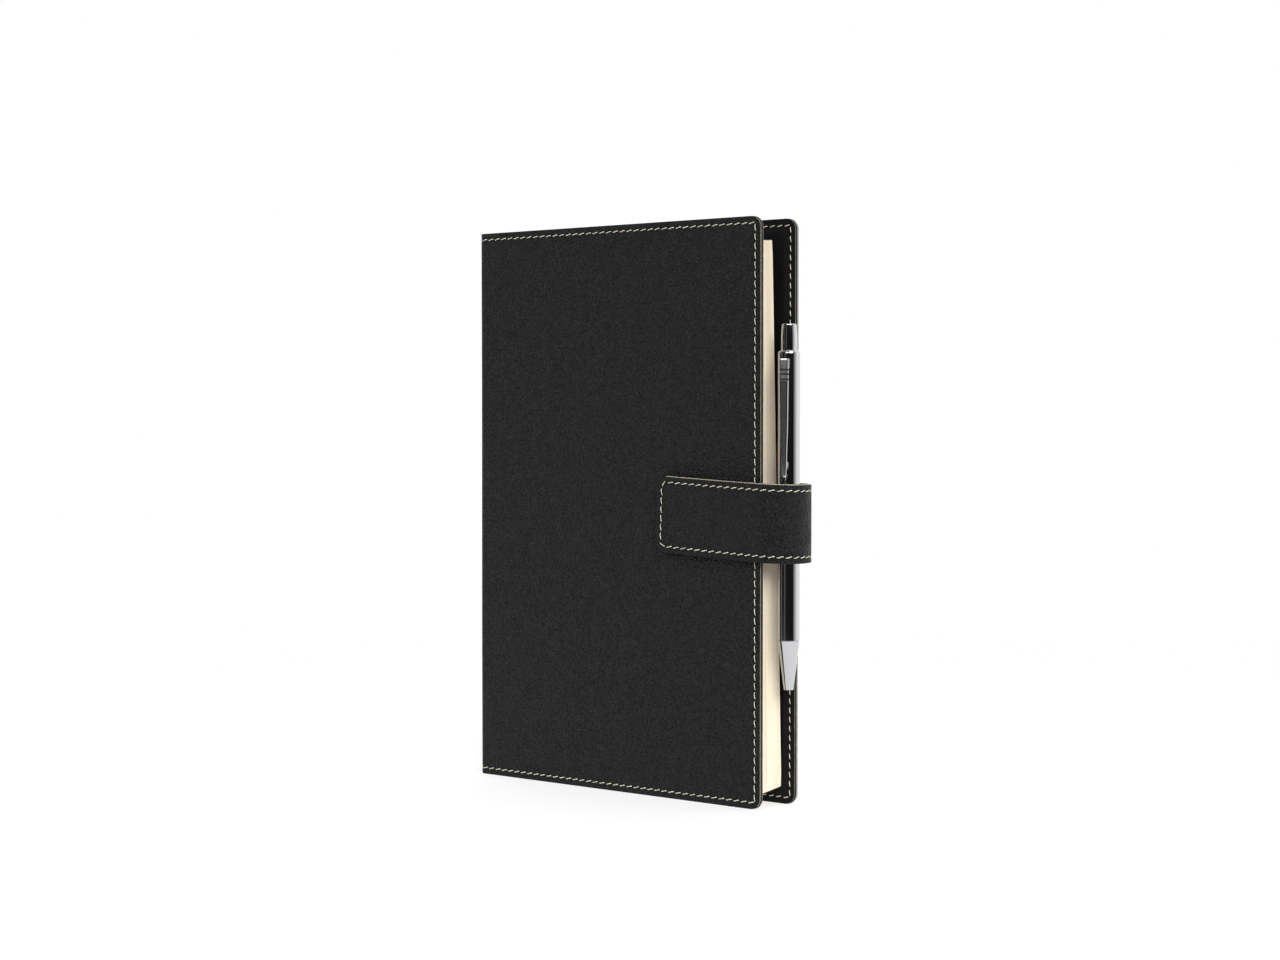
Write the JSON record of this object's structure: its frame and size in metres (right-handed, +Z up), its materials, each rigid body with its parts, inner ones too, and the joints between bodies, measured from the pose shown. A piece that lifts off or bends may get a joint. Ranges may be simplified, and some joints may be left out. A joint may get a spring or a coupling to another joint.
{
  "type": "leather notebook cover",
  "caption": "Stitched leatherette notebook cover standing on edge, with a sewn paper insert, a magnetic wrap-round strap and a click ballpoint pen held in the strap's loop.",
  "frame": {"origin": "under the middle of the whole object, on the plane that the covers' lower edges stand on", "axes": "+Z up along the spine, +X from the spine to the fore edge, -Y out of the front cover"},
  "size_m": [0.1572, 0.026, 0.222],
  "materials": {
    "leather": "fine grain, soft sheen",
    "lining": "smooth, matt",
    "board": "matt",
    "thread": "waxed",
    "paper": "matt, cream",
    "card": "matt",
    "binding_cloth": "open weave",
    "magnet": "nickel plated",
    "chrome": "polished",
    "steel": "drawn",
    "brass": "turned"
  },
  "bodies": {
    "back_cover": {"back_leather": "leather", "back_board": "board", "back_lining": "lining", "back_pocket": "lining", "back_stitching": "thread", "back_pocket_stitching": "thread", "insert_card_back": "card", "insert_binding": "binding_cloth", "signature_05": "paper", "signature_06": "paper", "signature_07": "paper", "signature_08": "paper", "signature_09": "paper", "signature_10": "paper", "signature_11": "paper", "signature_12": "paper", "strap_loop_leather": "leather", "strap_loop_lining": "lining", "strap_stitching_upper": "thread", "strap_stitching_lower": "thread"},
    "spine": {"spine_leather": "leather", "spine_board": "board", "spine_lining": "lining", "spine_stitching_upper": "thread", "spine_stitching_lower": "thread"},
    "front_cover": {"front_leather": "leather", "front_board": "board", "front_lining": "lining", "front_pocket": "lining", "front_stitching": "thread", "front_pocket_stitching": "thread", "front_steel_plate": "steel", "insert_card_front": "card"},
    "front_pages": {"signature_01": "paper", "signature_02": "paper", "signature_03": "paper", "signature_04": "paper"},
    "strap_tongue": {"tongue_leather": "leather", "tongue_core": "board", "tongue_lining": "lining", "tongue_magnet": "magnet", "tongue_stitching": "thread"},
    "pen": {"pen_barrel": "chrome", "pen_tip": "chrome", "pen_spring": "steel"},
    "pen_clip": {"pen_clip": "chrome"},
    "pen_button": {"pen_button": "chrome", "pen_cam": "brass"},
    "pen_refill": {"pen_refill": "brass", "pen_ball_tip": "steel"}
  },
  "joints": [
    {"name": "front_crease", "type": "hinge", "parent": "spine", "child": "front_cover", "pos_m": [-0.07773, -0.00961, 0.111], "axis": [0, 0, -1], "range_deg": [0, 90]},
    {"name": "back_crease", "type": "hinge", "parent": "back_cover", "child": "spine", "pos_m": [-0.07773, 0.00961, 0.111], "axis": [0, 0, -1], "range_deg": [0, 90]},
    {"name": "page_turn", "type": "hinge", "parent": "back_cover", "child": "front_pages", "pos_m": [-0.06838, -0.00487, 0.11], "axis": [0, 0, -1], "range_deg": [0, 183]},
    {"name": "strap_bend", "type": "hinge", "parent": "back_cover", "child": "strap_tongue", "pos_m": [0.06578, -0.013, 0.1085], "axis": [0, 0, 1], "range_deg": [0, 145]},
    {"name": "pen_slide", "type": "slide", "parent": "back_cover", "child": "pen", "axis": [0, 0, 1], "range_m": [0, 0.085]},
    {"name": "clip_flex", "type": "hinge", "parent": "pen", "child": "pen_clip", "pos_m": [0.07305, -0.00437, 0.168], "axis": [-0.9511, -0.309, 0], "range_deg": [0, 5], "stiffness_Nm_per_rad": 0.2, "springref_deg": -1.15},
    {"name": "button_press", "type": "slide", "parent": "pen", "child": "pen_button", "axis": [0, 0, -1], "range_m": [0, 0.0045], "stiffness_N_per_m": 150, "springref_m": -0.004},
    {"name": "refill_advance", "type": "slide", "parent": "pen", "child": "pen_refill", "axis": [0, 0, -1], "range_m": [0, 0.0045], "deforming": ["pen_spring"]}
  ],
  "couplings": [
    {"joint": "back_crease", "follows": "front_crease", "ratio": 1},
    {"joint": "page_turn", "follows": "front_crease", "ratio": 2.03},
    {"joint": "refill_advance", "follows": "button_press", "ratio": 1}
  ]
}
